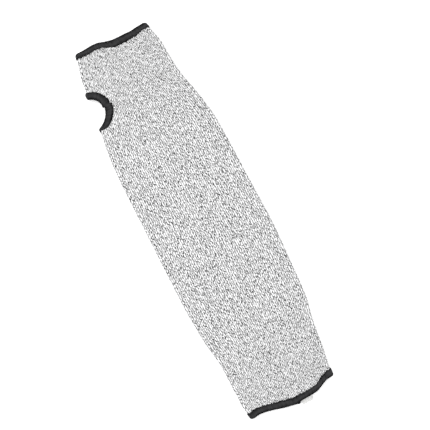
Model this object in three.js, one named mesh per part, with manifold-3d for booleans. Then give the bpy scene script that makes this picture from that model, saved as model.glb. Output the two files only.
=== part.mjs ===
// Cut resistant sleeve: a seamless knitted tube for the forearm, lying flat as it is put down, with
// a bound hem at each end and a bound thumb hole in the side fold near the hand end.
//
// Millimetres. +X runs across the sleeve, +Y along it to the hand end and +Z up. The sleeve lies on
// z = 0, the middle of its length and of its width is over the origin, and the thumb hole is at -X.
//
// The cloth is drawn unrolled, by three coordinates: girth, the way round the tube from the outermost
// line of the left fold, positive over the top layer and negative under it; y, the place along the
// sleeve; and out, the distance from the middle of the cloth to the outside.

import * as THREE from 'three';
import { mergeVertices } from 'three/addons/utils/BufferGeometryUtils.js';
import Module from 'manifold-3d';

const wasm = await Module();
wasm.setup();

// Driving sizes

const LENGTH = 457; // over both hems
const WIDTH = 131.3; // across the forearm, where the flat sleeve is widest
const WALL = 1.8; // knitted cloth, one layer
const BINDING = 0.8; // edge binding on each face of the cloth
const GAP = 0.3; // clearance between the cloth and what is sewn to it
const FOLD_HOLLOW = 1.2; // radius left free inside a side fold, within the binding
const CROWN = 3.8; // rise of the top layer between its side folds
const DENT = 1.4; // deepest dent in the top layer

const HEM_WIDTH = 9; // bound hem at its widest, from its nose to its stitched edge
const HAND_WAVE = 5.3; // how far the hand hem dips back from its furthest point
const ARM_WAVE = 10.3; // the same at the arm hem
const UNDER_SETBACK = 1.5; // how much shorter the under layer lies at each end
const WAVE_FADE = 65; // length over which the wave of an end dies out in the cloth

const THUMB_GIRTH = 48.2; // thumb hole, measured round the tube
const THUMB_LENGTH = 42.6; // thumb hole, measured along the tube
const THUMB_FROM_HAND = 68.4; // its centre, from the hand end
const THUMB_UNDER = 10; // its centre, round to the underside of the fold
const THUMB_RIM_WIDTH = 9; // binding round it at its widest, from its nose to its stitched edge
const THUMB_RIM_TAPER = 0.45; // share of that width lost at the two ends of the hole

const LIFT_FADE = 40; // length over which the underside comes back down beside a bound edge

const LABEL_WIDTH = 12.4; // woven size label, folded double, sewn in at the arm hem
const LABEL_WALL = 0.6;
const LABEL_SIDE = 10.4; // its middle, to the right of the middle of the sleeve
const LABEL_HOLD = 6; // how far it reaches in over the hem
const LABEL_REACH = 3; // how far its free end lies beyond the arm end
const LABEL_DROOP = 2.2; // how far its free end hangs down

// Section of the flat sleeve: along is a share of LENGTH from the arm end, left and right are shares
// of half of WIDTH, and crown is a share of CROWN.

const SECTIONS = [
  { along: 0.0, left: 0.815, right: 0.725, crown: 0.92 },
  { along: 0.02, left: 0.83, right: 0.73, crown: 0.92 },
  { along: 0.05, left: 0.875, right: 0.747, crown: 0.93 },
  { along: 0.083, left: 0.88, right: 0.787, crown: 0.94 },
  { along: 0.141, left: 0.887, right: 0.836, crown: 0.96 },
  { along: 0.18, left: 0.9, right: 0.878, crown: 0.98 },
  { along: 0.218, left: 0.946, right: 0.931, crown: 1.0 },
  { along: 0.296, left: 0.99, right: 0.966, crown: 1.0 },
  { along: 0.412, left: 1.0, right: 1.0, crown: 1.0 },
  { along: 0.568, left: 0.997, right: 0.978, crown: 1.0 },
  { along: 0.665, left: 0.993, right: 0.965, crown: 1.0 },
  { along: 0.723, left: 0.976, right: 0.941, crown: 1.0 },
  { along: 0.8, left: 0.906, right: 0.843, crown: 0.98 },
  { along: 0.839, left: 0.853, right: 0.772, crown: 0.96 },
  { along: 0.896, left: 0.82, right: 0.726, crown: 0.94 },
  { along: 0.94, left: 0.787, right: 0.705, crown: 0.93 },
  { along: 0.97, left: 0.732, right: 0.648, crown: 0.92 },
  { along: 1.0, left: 0.675, right: 0.585, crown: 0.92 },
];

// Waves of the two ends: across runs from -1 at the left fold to 1 at the right fold, dip is a share
// of HAND_WAVE or ARM_WAVE, back from the furthest point of that end, and width of HEM_WIDTH.

const HAND_EDGE = [
  { across: -1.0, dip: 0.2, width: 0.66 },
  { across: -0.8, dip: 0.1, width: 0.74 },
  { across: -0.55, dip: 0.0, width: 0.74 },
  { across: -0.38, dip: 0.1, width: 0.77 },
  { across: -0.16, dip: 0.58, width: 0.86 },
  { across: 0.0, dip: 0.85, width: 0.93 },
  { across: 0.17, dip: 0.95, width: 0.98 },
  { across: 0.4, dip: 0.96, width: 0.95 },
  { across: 0.6, dip: 1.0, width: 0.84 },
  { across: 0.8, dip: 0.82, width: 0.78 },
  { across: 1.0, dip: 0.78, width: 0.72 },
];

const ARM_EDGE = [
  { across: -1.0, dip: 0.79, width: 0.85 },
  { across: -0.87, dip: 0.83, width: 0.9 },
  { across: -0.7, dip: 0.75, width: 0.9 },
  { across: -0.5, dip: 0.545, width: 0.9 },
  { across: -0.3, dip: 0.29, width: 0.96 },
  { across: -0.12, dip: 0.12, width: 0.92 },
  { across: 0.07, dip: 0.0, width: 0.9 },
  { across: 0.18, dip: 0.11, width: 0.83 },
  { across: 0.35, dip: 0.16, width: 0.82 },
  { across: 0.54, dip: 0.22, width: 0.76 },
  { across: 0.63, dip: 0.32, width: 0.69 },
  { across: 0.82, dip: 0.74, width: 0.87 },
  { across: 0.91, dip: 0.92, width: 0.92 },
  { across: 1.0, dip: 1.0, width: 1.0 },
];

// Soft dents and ridges of the top layer: across and wide are shares of half of WIDTH, along and
// long are shares of LENGTH, turn is in degrees and height is a share of DENT.

const DENTS = [
  { across: 0.0, along: 0.497, wide: 1.3, long: 0.018, turn: 3, height: -0.8 }, // packing crease
  { across: -0.1, along: 0.535, wide: 0.9, long: 0.02, turn: 3, height: 0.25 },
  { across: 0.05, along: 0.655, wide: 0.6, long: 0.018, turn: -4, height: -0.4 },
  { across: -0.05, along: 0.708, wide: 0.6, long: 0.018, turn: -4, height: 0.4 },
  { across: 0.355, along: 0.754, wide: 0.1, long: 0.04, turn: 24, height: -0.5 },
  { across: 0.0, along: 0.267, wide: 0.5, long: 0.02, turn: 6, height: 0.4 },
  { across: -0.62, along: 0.06, wide: 0.22, long: 0.03, turn: 0, height: -0.5 },
  { across: 0.52, along: 0.06, wide: 0.2, long: 0.03, turn: 0, height: -0.5 },
  { across: 0.4, along: 0.965, wide: 0.25, long: 0.025, turn: 0, height: 0.45 },
  { across: -0.36, along: 0.85, wide: 0.12, long: 0.04, turn: 0, height: -0.5 }, // beside the thumb
];

// Fineness of the faceted solids

const FOLD_STEPS = 6; // round each side fold
const LAYER_STEPS = 12; // across each layer
const ROWS = 42; // along the sleeve
const THUMB_STATIONS = 44; // round the thumb hole
const PLUG_ROWS = 6;
const LABEL_STEPS = 6;

// Sizes worked out from those above

const HALF_WALL = WALL / 2;
const PROUD = GAP + BINDING; // how far a binding stands out from the cloth that it wraps
const FOLD_RADIUS = FOLD_HOLLOW + PROUD + HALF_WALL; // of the middle of the cloth
const QUARTER = FOLD_RADIUS * Math.PI / 2; // girth from the outermost line of a fold to a layer
const COLUMNS = 2 * (FOLD_STEPS + LAYER_STEPS);
const THUMB_Y = LENGTH / 2 - THUMB_FROM_HAND;
const NUDGE = 0.2; // step for the slope of the cloth

// Materials

const knit = () => new THREE.MeshStandardMaterial({ color: '#d0d0d0', roughness: 0.95, metalness: 0 });
const bindingThread = () => new THREE.MeshStandardMaterial({ color: '#353535', roughness: 0.85, metalness: 0 });
const wovenLabel = () => new THREE.MeshStandardMaterial({ color: '#e6e6e4', roughness: 0.7, metalness: 0 });

// Small helpers

const clamp = THREE.MathUtils.clamp;
const smoothstep = THREE.MathUtils.smoothstep;

// One column of a table as a smooth curve through its rows.
function curveOf(rows, place, column) {
  const places = rows.map((row) => row[place]);
  const values = rows.map((row) => row[column]);
  const curve = new THREE.CubicInterpolant(places, values, 1);
  return (at) => curve.evaluate(at)[0];
}

const leftShare = curveOf(SECTIONS, 'along', 'left');
const rightShare = curveOf(SECTIONS, 'along', 'right');
const crownShare = curveOf(SECTIONS, 'along', 'crown');
const handDip = curveOf(HAND_EDGE, 'across', 'dip');
const handHemShare = curveOf(HAND_EDGE, 'across', 'width');
const armDip = curveOf(ARM_EDGE, 'across', 'dip');
const armHemShare = curveOf(ARM_EDGE, 'across', 'width');

// The shape of the flat tube

// The size of the flat tube at y; layer is the width of each layer between its fold arcs.
function sectionAt(y) {
  const along = y / LENGTH + 0.5;
  const left = leftShare(along) * WIDTH / 2;
  const right = rightShare(along) * WIDTH / 2;
  const crown = crownShare(along) * CROWN;
  const layer = left + right - WALL - 2 * FOLD_RADIUS;
  return { left, right, crown, layer };
}

function dentsAt(x, y) {
  let height = 0;
  for (const dent of DENTS) {
    const turn = THREE.MathUtils.degToRad(dent.turn);
    const dx = x - dent.across * WIDTH / 2;
    const dy = y - (dent.along - 0.5) * LENGTH;
    const wide = (dx * Math.cos(turn) + dy * Math.sin(turn)) / (dent.wide * WIDTH / 2);
    const long = (dy * Math.cos(turn) - dx * Math.sin(turn)) / (dent.long * LENGTH);
    height += dent.height * DENT * Math.exp(-(wide * wide + long * long) / 2);
  }
  return height;
}

// The underside lies on z = 0, and is carried clear of it by the bindings near each bound edge.
function liftAt(fromLeft, y) {
  const endZone = ARM_WAVE + UNDER_SETBACK + HEM_WIDTH;
  const fromEnd = LENGTH / 2 - Math.abs(y) - endZone;
  const fromThumb = Math.abs(y - THUMB_Y) - THUMB_LENGTH / 2 - THUMB_RIM_WIDTH;
  const pastThumb = fromLeft - THUMB_GIRTH / 2 - THUMB_UNDER - THUMB_RIM_WIDTH;
  const end = smoothstep(fromEnd, 0, LIFT_FADE);
  const thumb = 1 - (1 - smoothstep(fromThumb, 0, LIFT_FADE)) * (1 - smoothstep(pastThumb, 0, LIFT_FADE));
  return PROUD * (1 - end * thumb);
}

// A point on the middle of the cloth.
function middleOfCloth(girth, y) {
  const section = sectionAt(y);
  const up = girth < 0 ? -1 : 1;
  const run = Math.abs(girth) - QUARTER;
  const flat = clamp(run, 0, section.layer);
  const bend = Math.abs(run - flat) / FOLD_RADIUS;
  const side = run < 0 ? -1 : 1;
  const x = HALF_WALL + FOLD_RADIUS - section.left + flat + side * FOLD_RADIUS * Math.sin(bend);
  const across = 2 * flat / section.layer - 1;
  const onTop = (1 + up * Math.cos(bend)) / 2;
  const crown = section.crown * (1 - across ** 4) ** 2;
  const fold = HALF_WALL + FOLD_RADIUS * (1 + up * Math.cos(bend));
  const z = fold + liftAt(flat, y) + onTop * (crown + dentsAt(x, y));
  return new THREE.Vector3(x, y, z);
}

// A point at a distance out from the middle of the cloth.
function clothPoint(girth, y, out) {
  const round = middleOfCloth(girth + NUDGE, y).sub(middleOfCloth(girth - NUDGE, y));
  const along = middleOfCloth(girth, y + NUDGE).sub(middleOfCloth(girth, y - NUDGE));
  const outward = round.cross(along).normalize();
  return middleOfCloth(girth, y).addScaledVector(outward, out);
}

// Columns run round the tube from the outermost line of the left fold, over the top and back under.
function columnAt(column) {
  const over = column <= COLUMNS / 2;
  const step = over ? column : COLUMNS - column;
  const quarter = FOLD_STEPS / 2;
  const flat = clamp(step - quarter, 0, LAYER_STEPS) / LAYER_STEPS;
  const bent = Math.min(step, quarter) + Math.max(step - quarter - LAYER_STEPS, 0);
  const folded = bent / quarter;
  const fromLayer = step < quarter ? 1 - folded : Math.max(folded - 1, 0);
  const under = (1 - (over ? 1 : -1) * Math.cos(fromLayer * Math.PI / 2)) / 2;
  const girthAt = (y) => (over ? 1 : -1) * (QUARTER * folded + sectionAt(y).layer * flat);
  return { across: 2 * flat - 1, under, girthAt };
}

// The cut edges of the cloth at the two ends, in a column.
function handEdge(column) {
  return LENGTH / 2 - PROUD - HAND_WAVE * handDip(column.across) - UNDER_SETBACK * column.under;
}

function armEdge(column) {
  return -LENGTH / 2 + PROUD + ARM_WAVE * armDip(column.across) + UNDER_SETBACK * column.under;
}

// Rows run along the sleeve; each follows the wave of the nearer end, which dies out inwards.
function rowY(share, column) {
  const flatArm = -LENGTH / 2 + PROUD;
  const flatHand = LENGTH / 2 - PROUD;
  const y = THREE.MathUtils.lerp(flatArm, flatHand, share);
  const armWave = (armEdge(column) - flatArm) * (1 - smoothstep(y - flatArm, 0, WAVE_FADE));
  const handWave = (handEdge(column) - flatHand) * (1 - smoothstep(flatHand - y, 0, WAVE_FADE));
  return y + armWave + handWave;
}

// Solids from rings of points; the rings join up end to end where joined is true, and otherwise the
// first and the last ring close on themselves.
function solidOfRings(rings, joined) {
  const corners = [];
  const count = rings[0].length;
  const spans = joined ? rings.length : rings.length - 1;
  for (let i = 0; i < spans; i += 1) {
    const near = rings[i];
    const far = rings[(i + 1) % rings.length];
    for (let j = 0; j < count; j += 1) {
      const next = (j + 1) % count;
      corners.push(near[j], near[next], far[next], near[j], far[next], far[j]);
    }
  }
  const merged = mergeVertices(new THREE.BufferGeometry().setFromPoints(corners));
  const index = merged.index.array;
  const kept = [];
  for (let i = 0; i < index.length; i += 3) {
    const [a, b, c] = [index[i], index[i + 1], index[i + 2]];
    if (a !== b && b !== c && c !== a) kept.push(a, b, c);
  }
  const vertProperties = new Float32Array(merged.attributes.position.array);
  const triVerts = new Uint32Array(kept);
  return new wasm.Manifold(new wasm.Mesh({ numProp: 3, vertProperties, triVerts }));
}

function namedMesh(name, solid, material) {
  const mesh = solid.getMesh();
  const geometry = new THREE.BufferGeometry();
  geometry.setAttribute('position', new THREE.BufferAttribute(mesh.vertProperties, 3));
  geometry.setIndex(new THREE.BufferAttribute(mesh.triVerts, 1));
  geometry.computeVertexNormals();
  const named = new THREE.Mesh(geometry, material);
  named.name = name;
  return named;
}

// Knitted cloth

// The whole tube, swelled on both faces and at both ends where a binding needs its clearance.
function tube(swell) {
  const half = HALF_WALL + swell;
  const columns = Array.from({ length: COLUMNS }, (_, i) => columnAt(i));
  const ring = (row, out) => columns.map((column) => {
    const past = row === 0 ? -swell : row === ROWS ? swell : 0;
    const y = rowY(row / ROWS, column) + past;
    return clothPoint(column.girthAt(y), y, out);
  });
  const outer = Array.from({ length: ROWS + 1 }, (_, row) => ring(row, half));
  const inner = Array.from({ length: ROWS + 1 }, (_, row) => ring(ROWS - row, -half));
  return solidOfRings([...outer, ...inner], true);
}

// What is cut out for the thumb: an ellipse in the unrolled cloth, bent round the fold with it.
function thumbPlug(shrink) {
  const above = HALF_WALL + 2 * PROUD;
  const below = HALF_WALL + GAP + BINDING / 2;
  const girthReach = THUMB_GIRTH / 2 - shrink;
  const lengthReach = THUMB_LENGTH / 2 - shrink;
  const rings = [];
  for (let i = 0; i <= THUMB_STATIONS / 2; i += 1) {
    const angle = Math.PI * (2 * i / THUMB_STATIONS - 0.5);
    const girth = girthReach * Math.sin(angle) - THUMB_UNDER;
    const reach = lengthReach * Math.cos(angle);
    const level = (out, way) => Array.from({ length: PLUG_ROWS + 1 }, (_, row) => {
      const y = THUMB_Y + way * reach * (2 * row / PLUG_ROWS - 1);
      return clothPoint(girth, y, out);
    });
    rings.push([...level(above, -1), ...level(-below, 1)]);
  }
  return solidOfRings(rings, false);
}

// Edge bindings

// Section of a bound edge before the cloth's slot is cut: inward from the cut edge of the cloth, and
// out from the middle of the cloth. Its corners are rounded by the thickness of the binding.
function rimSection(width) {
  const face = HALF_WALL + GAP;
  const end = width - PROUD;
  const half = [];
  for (const angle of [Math.PI, 0.75 * Math.PI, 0.5 * Math.PI]) {
    half.push([BINDING * Math.cos(angle) - GAP, face + BINDING * Math.sin(angle)]);
  }
  half.push([end / 2, face + BINDING]);
  half.push([end - BINDING / 2, face + BINDING]);
  half.push([end, face + BINDING / 2]);
  const mirrored = half.map(([inward, out]) => [inward, -out]).reverse();
  return [...half, ...mirrored];
}

// A hem round one end: inwardWay is 1 where the cloth lies towards +Y, and -1 where towards -Y.
function hem(edgeOf, shareOf, inwardWay, slot) {
  const rings = [];
  for (let i = 0; i < COLUMNS; i += 1) {
    const column = columnAt(inwardWay > 0 ? COLUMNS - 1 - i : i);
    const section = rimSection(HEM_WIDTH * shareOf(column.across));
    rings.push(section.map(([inward, out]) => {
      const y = edgeOf(column) + inwardWay * inward;
      return clothPoint(column.girthAt(y), y, out);
    }));
  }
  return solidOfRings(rings, true).subtract(slot);
}

function thumbBinding(slot) {
  const rings = [];
  for (let i = 0; i < THUMB_STATIONS; i += 1) {
    const angle = 2 * Math.PI * i / THUMB_STATIONS;
    const edge = new THREE.Vector2(THUMB_GIRTH / 2 * Math.cos(angle), THUMB_LENGTH / 2 * Math.sin(angle));
    const section = rimSection(THUMB_RIM_WIDTH * (1 - THUMB_RIM_TAPER * Math.sin(angle) ** 2));
    const away = new THREE.Vector2(edge.x / THUMB_GIRTH ** 2, edge.y / THUMB_LENGTH ** 2).normalize();
    rings.push(section.map(([inward, out]) => {
      const place = edge.clone().addScaledVector(away, inward);
      return clothPoint(place.x - THUMB_UNDER, THUMB_Y + place.y, out);
    }));
  }
  return solidOfRings(rings, true).subtract(slot);
}

// Size label

// A short blank strip that lies on the inside of the under layer's hem and droops beyond it.
function sizeLabel() {
  const across = LABEL_SIDE / (WIDTH / 2 * rightShare(0));
  const edge = armEdge({ across, under: 1 });
  const tip = -LENGTH / 2 - LABEL_REACH;
  const root = edge + LABEL_HOLD;
  const bed = WALL + PROUD + PROUD + GAP + LABEL_WALL / 2;
  const rings = [];
  for (let i = 0; i <= LABEL_STEPS; i += 1) {
    const y = THREE.MathUtils.lerp(root, tip, i / LABEL_STEPS);
    const free = clamp((edge - PROUD - y) / (edge - PROUD - tip), 0, 1);
    const z = bed - LABEL_DROOP * free * free;
    const corner = (side, face) => new THREE.Vector3(
      LABEL_SIDE + side * LABEL_WIDTH / 2,
      y,
      z + face * LABEL_WALL / 2,
    );
    rings.push([corner(1, 1), corner(-1, 1), corner(-1, -1), corner(1, -1)]);
  }
  const cap = (ring) => {
    const middle = ring[0].clone().lerp(ring[2], 0.5);
    return ring.map(() => middle);
  };
  return solidOfRings([cap(rings[0]), ...rings, cap(rings[LABEL_STEPS])], false);
}

// The sleeve

const slot = tube(GAP);
const sleeve = new THREE.Group();
sleeve.add(namedMesh('sleeve_body', tube(0).subtract(thumbPlug(0)), knit()));
sleeve.add(namedMesh('hand_hem', hem(handEdge, handHemShare, -1, slot), bindingThread()));
sleeve.add(namedMesh('arm_hem', hem(armEdge, armHemShare, 1, slot), bindingThread()));
sleeve.add(namedMesh('thumb_binding', thumbBinding(slot.subtract(thumbPlug(GAP))), bindingThread()));
sleeve.add(namedMesh('size_label', sizeLabel(), wovenLabel()));

export default sleeve;
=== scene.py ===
"""Looks of the cut resistant sleeve: marl knit, black edge binding, a blank woven label."""

import math

import bpy
import numpy as np
from mathutils import Matrix, Vector


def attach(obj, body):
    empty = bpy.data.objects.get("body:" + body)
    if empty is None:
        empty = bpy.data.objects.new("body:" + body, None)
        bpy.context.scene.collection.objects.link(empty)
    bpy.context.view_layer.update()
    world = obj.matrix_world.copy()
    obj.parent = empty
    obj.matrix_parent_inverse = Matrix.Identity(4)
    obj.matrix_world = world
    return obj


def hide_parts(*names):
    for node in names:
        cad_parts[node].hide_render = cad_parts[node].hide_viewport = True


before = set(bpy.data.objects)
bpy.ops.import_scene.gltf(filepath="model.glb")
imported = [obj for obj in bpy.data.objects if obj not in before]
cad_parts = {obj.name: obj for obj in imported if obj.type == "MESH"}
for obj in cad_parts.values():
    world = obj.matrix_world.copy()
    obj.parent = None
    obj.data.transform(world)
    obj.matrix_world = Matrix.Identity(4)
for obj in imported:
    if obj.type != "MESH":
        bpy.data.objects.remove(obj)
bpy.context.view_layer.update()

# The sleeve is drawn in millimetres and turned into metres where its meshes are made.
MM = 0.001

# Sizes and tables of the flat sleeve, as in the part's source
LENGTH = 457.0
WIDTH = 131.3
WALL = 1.8
BINDING = 0.8
GAP = 0.3
FOLD_HOLLOW = 1.2
CROWN = 3.8
DENT = 1.4
HEM_WIDTH = 9.0
HAND_WAVE = 5.3
ARM_WAVE = 10.3
UNDER_SETBACK = 1.5
WAVE_FADE = 65.0
THUMB_GIRTH = 48.2
THUMB_LENGTH = 42.6
THUMB_FROM_HAND = 68.4
THUMB_UNDER = 10.0
THUMB_RIM_WIDTH = 9.0
THUMB_RIM_TAPER = 0.45
LIFT_FADE = 40.0
LABEL_WIDTH = 12.4
LABEL_WALL = 0.6
LABEL_SIDE = 10.4
LABEL_HOLD = 6.0
LABEL_REACH = 3.0
LABEL_DROOP = 2.2

# along, left, right, crown
SECTIONS = [
    (0.0, 0.815, 0.725, 0.92),
    (0.02, 0.83, 0.73, 0.92),
    (0.05, 0.875, 0.747, 0.93),
    (0.083, 0.88, 0.787, 0.94),
    (0.141, 0.887, 0.836, 0.96),
    (0.18, 0.9, 0.878, 0.98),
    (0.218, 0.946, 0.931, 1.0),
    (0.296, 0.99, 0.966, 1.0),
    (0.412, 1.0, 1.0, 1.0),
    (0.568, 0.997, 0.978, 1.0),
    (0.665, 0.993, 0.965, 1.0),
    (0.723, 0.976, 0.941, 1.0),
    (0.8, 0.906, 0.843, 0.98),
    (0.839, 0.853, 0.772, 0.96),
    (0.896, 0.82, 0.726, 0.94),
    (0.94, 0.787, 0.705, 0.93),
    (0.97, 0.732, 0.648, 0.92),
    (1.0, 0.675, 0.585, 0.92),
]

# across, dip, width of hem
HAND_EDGE = [
    (-1.0, 0.2, 0.66),
    (-0.8, 0.1, 0.74),
    (-0.55, 0.0, 0.74),
    (-0.38, 0.1, 0.77),
    (-0.16, 0.58, 0.86),
    (0.0, 0.85, 0.93),
    (0.17, 0.95, 0.98),
    (0.4, 0.96, 0.95),
    (0.6, 1.0, 0.84),
    (0.8, 0.82, 0.78),
    (1.0, 0.78, 0.72),
]
ARM_EDGE = [
    (-1.0, 0.79, 0.85),
    (-0.87, 0.83, 0.9),
    (-0.7, 0.75, 0.9),
    (-0.5, 0.545, 0.9),
    (-0.3, 0.29, 0.96),
    (-0.12, 0.12, 0.92),
    (0.07, 0.0, 0.9),
    (0.18, 0.11, 0.83),
    (0.35, 0.16, 0.82),
    (0.54, 0.22, 0.76),
    (0.63, 0.32, 0.69),
    (0.82, 0.74, 0.87),
    (0.91, 0.92, 0.92),
    (1.0, 1.0, 1.0),
]

# across, along, wide, long, turn, height
DENTS = [
    (0.0, 0.497, 1.3, 0.018, 3, -0.8),
    (-0.1, 0.535, 0.9, 0.02, 3, 0.25),
    (0.05, 0.655, 0.6, 0.018, -4, -0.4),
    (-0.05, 0.708, 0.6, 0.018, -4, 0.4),
    (0.355, 0.754, 0.1, 0.04, 24, -0.5),
    (0.0, 0.267, 0.5, 0.02, 6, 0.4),
    (-0.62, 0.06, 0.22, 0.03, 0, -0.5),
    (0.52, 0.06, 0.2, 0.03, 0, -0.5),
    (0.4, 0.965, 0.25, 0.025, 0, 0.45),
    (-0.36, 0.85, 0.12, 0.04, 0, -0.5),
]

HALF_WALL = WALL / 2
PROUD = GAP + BINDING
FOLD_RADIUS = FOLD_HOLLOW + PROUD + HALF_WALL
QUARTER = FOLD_RADIUS * math.pi / 2
THUMB_Y = LENGTH / 2 - THUMB_FROM_HAND
NUDGE = 0.2  # half the distance over which a slope is measured

# Knit
WALES = 116  # columns of stitches round the tube
COURSES = 268  # rows of stitches along it
BAKE_OUTSIDE = (0.004, 0.556)  # shares of the baked map that the outside and the inside take
BAKE_INSIDE = (0.566, 0.996)
BAKE_RIM = 0.002
BAKE_RIMS = np.array([0.002, 0.004])  # the same for a band, along it and round it
BAKE_WIDTH = 6.0  # width of a band as its bake map is shared out
RIB = 0.32  # depth of the furrow between two columns of stitches
RIB_STEPS = 4  # mesh columns to each column of stitches
OUTER_ROWS = 146
INNER_STEPS = 2
INNER_ROWS = 73

# Binding
EDGE_IN = 0.5  # how far the stitching draws the cut edges in
ARM_DRAWN = 0.4  # and how much further in the middle of the arm end
EARS = 0.9  # how far the two ends stand out at the side folds
EARS_SHARP = 6
CORNER = 0.3  # how far the corners of the two ends are rounded back at the side folds
CORNER_SHARP = 3.5  # the higher, the nearer to the fold that rounding stays
CORNER_NARROW = 1.2  # how much narrower the hems are at these corners
THREAD_PITCH = 1.35
THREAD_STEPS = 6  # mesh stations to each turn of thread
THREAD_RELIEF = 0.27
THREAD_LEAN = 0.9  # threads that the binding leans by from its nose to its stitched edge
THREAD_ROUND = 0.7  # under 1, a thread's crest is broader than its furrow
THREAD_UNEVEN = 0.25  # share by which one thread stands out more than another
UNEVEN_WAVE = 1.2  # threads over which that changes
HEM_MORE = 0.25  # ragged stitches reach this much further than the even edge of the solid
RAGGED_WAVE = 2.2  # threads over which the stitched edge wanders
RAGGED_DRIFT = 0.5  # how far it wanders
RAGGED_BITE = 0.6  # how much longer or shorter one stitch is than the next
RAGGED_TOOTH = 0.3  # how much further the middle of a thread reaches than its sides
LEAST_REACH = 0.7  # the stitches reach at least this far in from a cut edge
RIM_SHARES = (1.0, 0.97, 0.91, 0.8, 0.6, 0.4, 0.2, 0.0)
BED_SHARES = (0.97, 0.5)  # the same where the band lies on the cloth
EDGE_SHARE = 0.96  # beyond this the threads dive into the cloth
EDGE_CALM = 0.8
EDGE_LIP = 0.12  # thickness of a stitched edge
EDGE_RISE = 0.3  # share of the band over which it grows to its full thickness
NOSE_STEPS = 8
NOSE_SQUARE = 0.75
NOSE_TURN = 0.3  # share of the way round a band that its nose takes
HEM_SAMPLES = 2000

# Thumb hole's rim
THUMB_FULL = 0.3  # extra width at the far side of the hole
THUMB_ARM_FULL = 1.3  # and on its arm side
THUMB_TURN = 4.0  # girth over which the rim turns round the fold
THUMB_BULGE = 1.3  # extra thickness there on the hand side, where the rim is bunched
THUMB_MIDDLE = 2.6  # distance in from the cut edge of the middle of that bulge
THUMB_SPAN = 3.9  # and half its width
THUMB_WIDE = 1.6  # extra width on the hand side, all of it towards the hole
THUMB_WIDE_TURN = 9.0
THUMB_NARROW = 5.0  # width lost at the fold on the arm side
THUMB_NARROW_TURN = 4.6
THUMB_RAGGED = 0.45
OUTER_FACE = 0.1  # further than this off the cloth, a point is on the outer face of the rim
LAP_PLACE = 0.008  # share of the way round where the two ends of the rim meet
LAP_SWELL = 0.35  # extra thickness there, where one end lies over the other
LAP_STEP_NEAR = 0.9  # how far one end steps towards the hole
LAP_STEP_FAR = 0.6  # and the other away from it
LAP_FADE = 7.0  # distance over which both fade
TABLE_TOUCH = 0.02  # the rim lies at least this high over the table

# The end of the arm hem's thread curls out from under it and lies on the table.
TAIL_SIDES = 10
TAIL_RADIUS = 0.8
TAIL_BLUNT = 6  # the higher, the more suddenly its two ends are rounded off
TAIL_LEAST = 0.02
TAIL_LOBES = 0.22  # two plies, twisted
TAIL_TWIST = 0.8
TAIL_GRAIN = 0.7
TAIL_PATH = [
    (-2.6, -225.9, 2.3),
    (-2.3, -227.3, 1.8),
    (-1.8, -228.5, 1.3),
    (-0.9, -229.3, 1.05),
    (0.2, -229.7, 1.0),
    (1.3, -229.6, 1.0),
    (2.2, -229.1, 1.0),
    (2.7, -228.4, 1.1),
]

# Label strip
LABEL_MORE = 1.2  # the soft strip reaches this much further than the solid
LABEL_ROWS, LABEL_COLUMNS = 28, 24
LABEL_RIPPLE = 0.18
LABEL_SELVEDGE = 0.06  # share of half its width over which its edges thin out
TIP_ROWS = 1.5  # rows over which its folded end is rounded
TIP_LEAST = 0.04
ROOT_START = 0.4
LABEL_BAKE = (0.94, 0.96)  # shares of the baked map that the strip takes along and round it
LABEL_BAKE_START, LABEL_BAKE_CAP = 0.02, 0.99

# Number of each band's own random draws
HAND_SEED, ARM_SEED, THUMB_SEED = 11, 23, 41


# Shape of the flat sleeve


def smoothstep(x, low, high):
    share = np.clip((x - low) / (high - low), 0, 1)
    return share * share * (3 - 2 * share)


def curve(rows, column):
    """One column of a table as the smooth curve through its rows, over its first column."""
    places = np.array([row[0] for row in rows], float)
    values = np.array([row[column] for row in rows], float)
    last = len(places) - 1

    def at(x):
        x = np.clip(np.asarray(x, float), places[0], places[-1])
        i = np.clip(np.searchsorted(places, x, side="right") - 1, 0, last - 1)
        start, end = places[i], places[i + 1]
        half = (end - start) / 2
        before = np.where(i > 0, places[np.maximum(i - 1, 0)], end)
        after = np.where(i + 2 <= last, places[np.minimum(i + 2, last)], start)
        value_before = np.where(i > 0, values[np.maximum(i - 1, 0)], values[i + 1])
        value_after = np.where(i + 2 <= last, values[np.minimum(i + 2, last)], values[i])
        w0 = half / (start - before)
        w1 = half / (after - end)
        p = (x - start) / (end - start)
        return (
            value_before * (-w0 * p**3 + 2 * w0 * p**2 - w0 * p)
            + values[i] * ((1 + w0) * p**3 - (1.5 + 2 * w0) * p**2 + (w0 - 0.5) * p + 1)
            + values[i + 1] * (-(1 + w1) * p**3 + (1.5 + w1) * p**2 + 0.5 * p)
            + value_after * (w1 * p**3 - w1 * p**2)
        )

    return at


left_share, right_share, crown_share = (curve(SECTIONS, column) for column in (1, 2, 3))
hand_dip, hand_width = (curve(HAND_EDGE, column) for column in (1, 2))
arm_dip, arm_width = (curve(ARM_EDGE, column) for column in (1, 2))


def layer_width(y):
    """Width of each layer of the flat tube between its fold arcs."""
    along = y / LENGTH + 0.5
    return (left_share(along) + right_share(along)) * WIDTH / 2 - WALL - 2 * FOLD_RADIUS


def dents_at(x, y):
    height = 0
    for across, along, wide, long, turn, tall in DENTS:
        c, s = math.cos(math.radians(turn)), math.sin(math.radians(turn))
        dx = x - across * WIDTH / 2
        dy = y - (along - 0.5) * LENGTH
        over = (dx * c + dy * s) / (wide * WIDTH / 2)
        down = (dy * c - dx * s) / (long * LENGTH)
        height = height + tall * DENT * np.exp(-(over**2 + down**2) / 2)
    return height


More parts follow.
